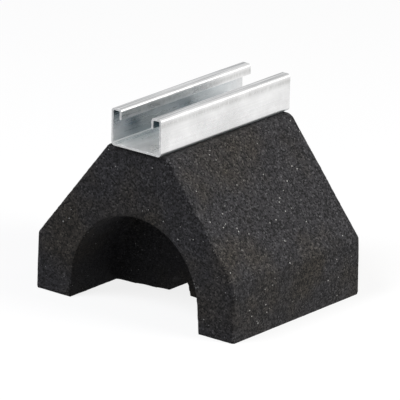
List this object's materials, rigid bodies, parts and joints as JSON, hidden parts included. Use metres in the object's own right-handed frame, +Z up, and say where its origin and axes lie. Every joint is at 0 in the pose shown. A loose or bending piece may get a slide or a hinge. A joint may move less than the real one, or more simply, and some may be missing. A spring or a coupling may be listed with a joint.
{
  "type": "rooftop support block with strut channel",
  "caption": "House-shaped moulded rubber support block with an arch pocket in each end and a short lipped steel strut channel screwed along its flat top.",
  "frame": {"origin": "middle of the rectangle on which the block's feet stand", "axes": "+Z up through the channel's slot, +Y along the channel, +X across the block from foot to foot"},
  "size_m": [0.165, 0.134, 0.1379],
  "materials": {
    "moulded_rubber": "matt pressed rubber granulate with pale specks",
    "galvanised_strip": "pre-galvanised, satin with faint grain",
    "zinc_plated_fixings": "bright zinc plated"
  },
  "bodies": {
    "root": {"rubber_block": "moulded_rubber", "strut_channel": "galvanised_strip", "coach_screws": "zinc_plated_fixings", "flat_washers": "zinc_plated_fixings"}
  },
  "joints": []
}
